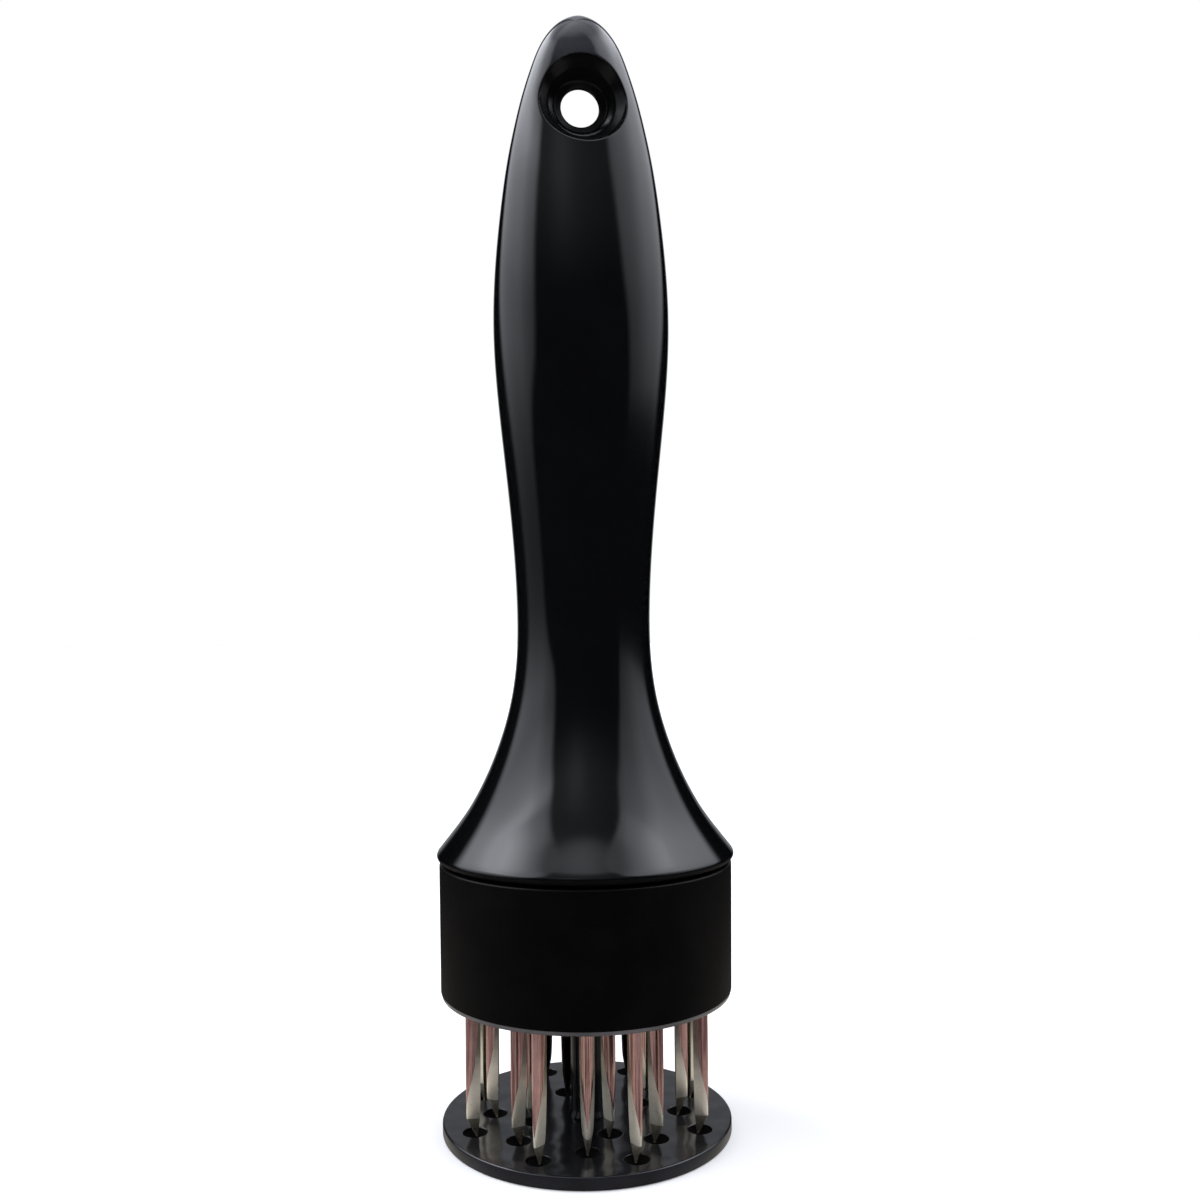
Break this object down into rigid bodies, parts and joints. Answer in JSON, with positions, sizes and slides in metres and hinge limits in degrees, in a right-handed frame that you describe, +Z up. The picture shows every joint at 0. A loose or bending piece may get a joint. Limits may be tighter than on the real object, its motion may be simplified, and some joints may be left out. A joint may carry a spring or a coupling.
{
  "type": "blade meat tenderizer",
  "caption": "Upright press-down blade meat tenderizer: gloss black handle with a hanging hole, screwed collar, folded steel blades and a sprung round guard plate.",
  "frame": {"origin": "centre of the guard plate's underside, on the surface that the tool stands on", "axes": "+Z up along the tool's axis, from the guard plate to the tip of the handle; the hanging hole runs along Y and the handle is widest along X"},
  "size_m": [0.0528, 0.0528, 0.2],
  "materials": {
    "handle_gloss": "high gloss moulded black",
    "collar_black": "satin to matte black",
    "head_black": "satin black",
    "guard_gloss": "semi-gloss black",
    "blade_steel": "polished, with ground bevels",
    "spring_steel": "drawn wire",
    "screw_steel": "bright zinc"
  },
  "bodies": {
    "handle": {"handle_shell": "handle_gloss"},
    "blade_cartridge": {"blade_holder": "head_black", "spring_housing": "head_black", "clamp_screw_1": "screw_steel", "clamp_screw_2": "screw_steel", "clamp_screw_3": "screw_steel", "clamp_screw_4": "screw_steel", "blade_outer_1": "blade_steel", "blade_outer_2": "blade_steel", "blade_outer_3": "blade_steel", "blade_outer_4": "blade_steel", "blade_outer_5": "blade_steel", "blade_outer_6": "blade_steel", "blade_outer_7": "blade_steel", "blade_outer_8": "blade_steel", "blade_middle_1": "blade_steel", "blade_middle_2": "blade_steel", "blade_middle_3": "blade_steel", "blade_middle_4": "blade_steel", "blade_middle_5": "blade_steel", "blade_middle_6": "blade_steel", "blade_middle_7": "blade_steel", "blade_middle_8": "blade_steel", "blade_inner_1": "blade_steel", "blade_inner_2": "blade_steel", "blade_inner_3": "blade_steel", "blade_inner_4": "blade_steel", "return_spring": "spring_steel"},
    "collar": {"threaded_collar": "collar_black"},
    "plunger": {"guard_plate": "guard_gloss", "guide_post": "guard_gloss", "plate_screw": "screw_steel"}
  },
  "joints": [
    {"name": "handle_lift", "type": "slide", "parent": "blade_cartridge", "child": "handle", "axis": [0, 0, 1], "range_m": [0, 0.0064]},
    {"name": "collar_unscrew", "type": "hinge", "parent": "blade_cartridge", "child": "collar", "pos_m": [0, 0, 0.036], "axis": [0, 0, -1], "range_deg": [0, 720]},
    {"name": "guard_slide", "type": "slide", "parent": "blade_cartridge", "child": "plunger", "axis": [0, 0, 1], "range_m": [0, 0.0215], "stiffness_N_per_m": 650, "springref_m": -0.005, "deforming": ["return_spring"]}
  ],
  "couplings": [
    {"joint": "collar_unscrew", "follows": "handle_lift", "rad_per_m": 1963.5}
  ]
}
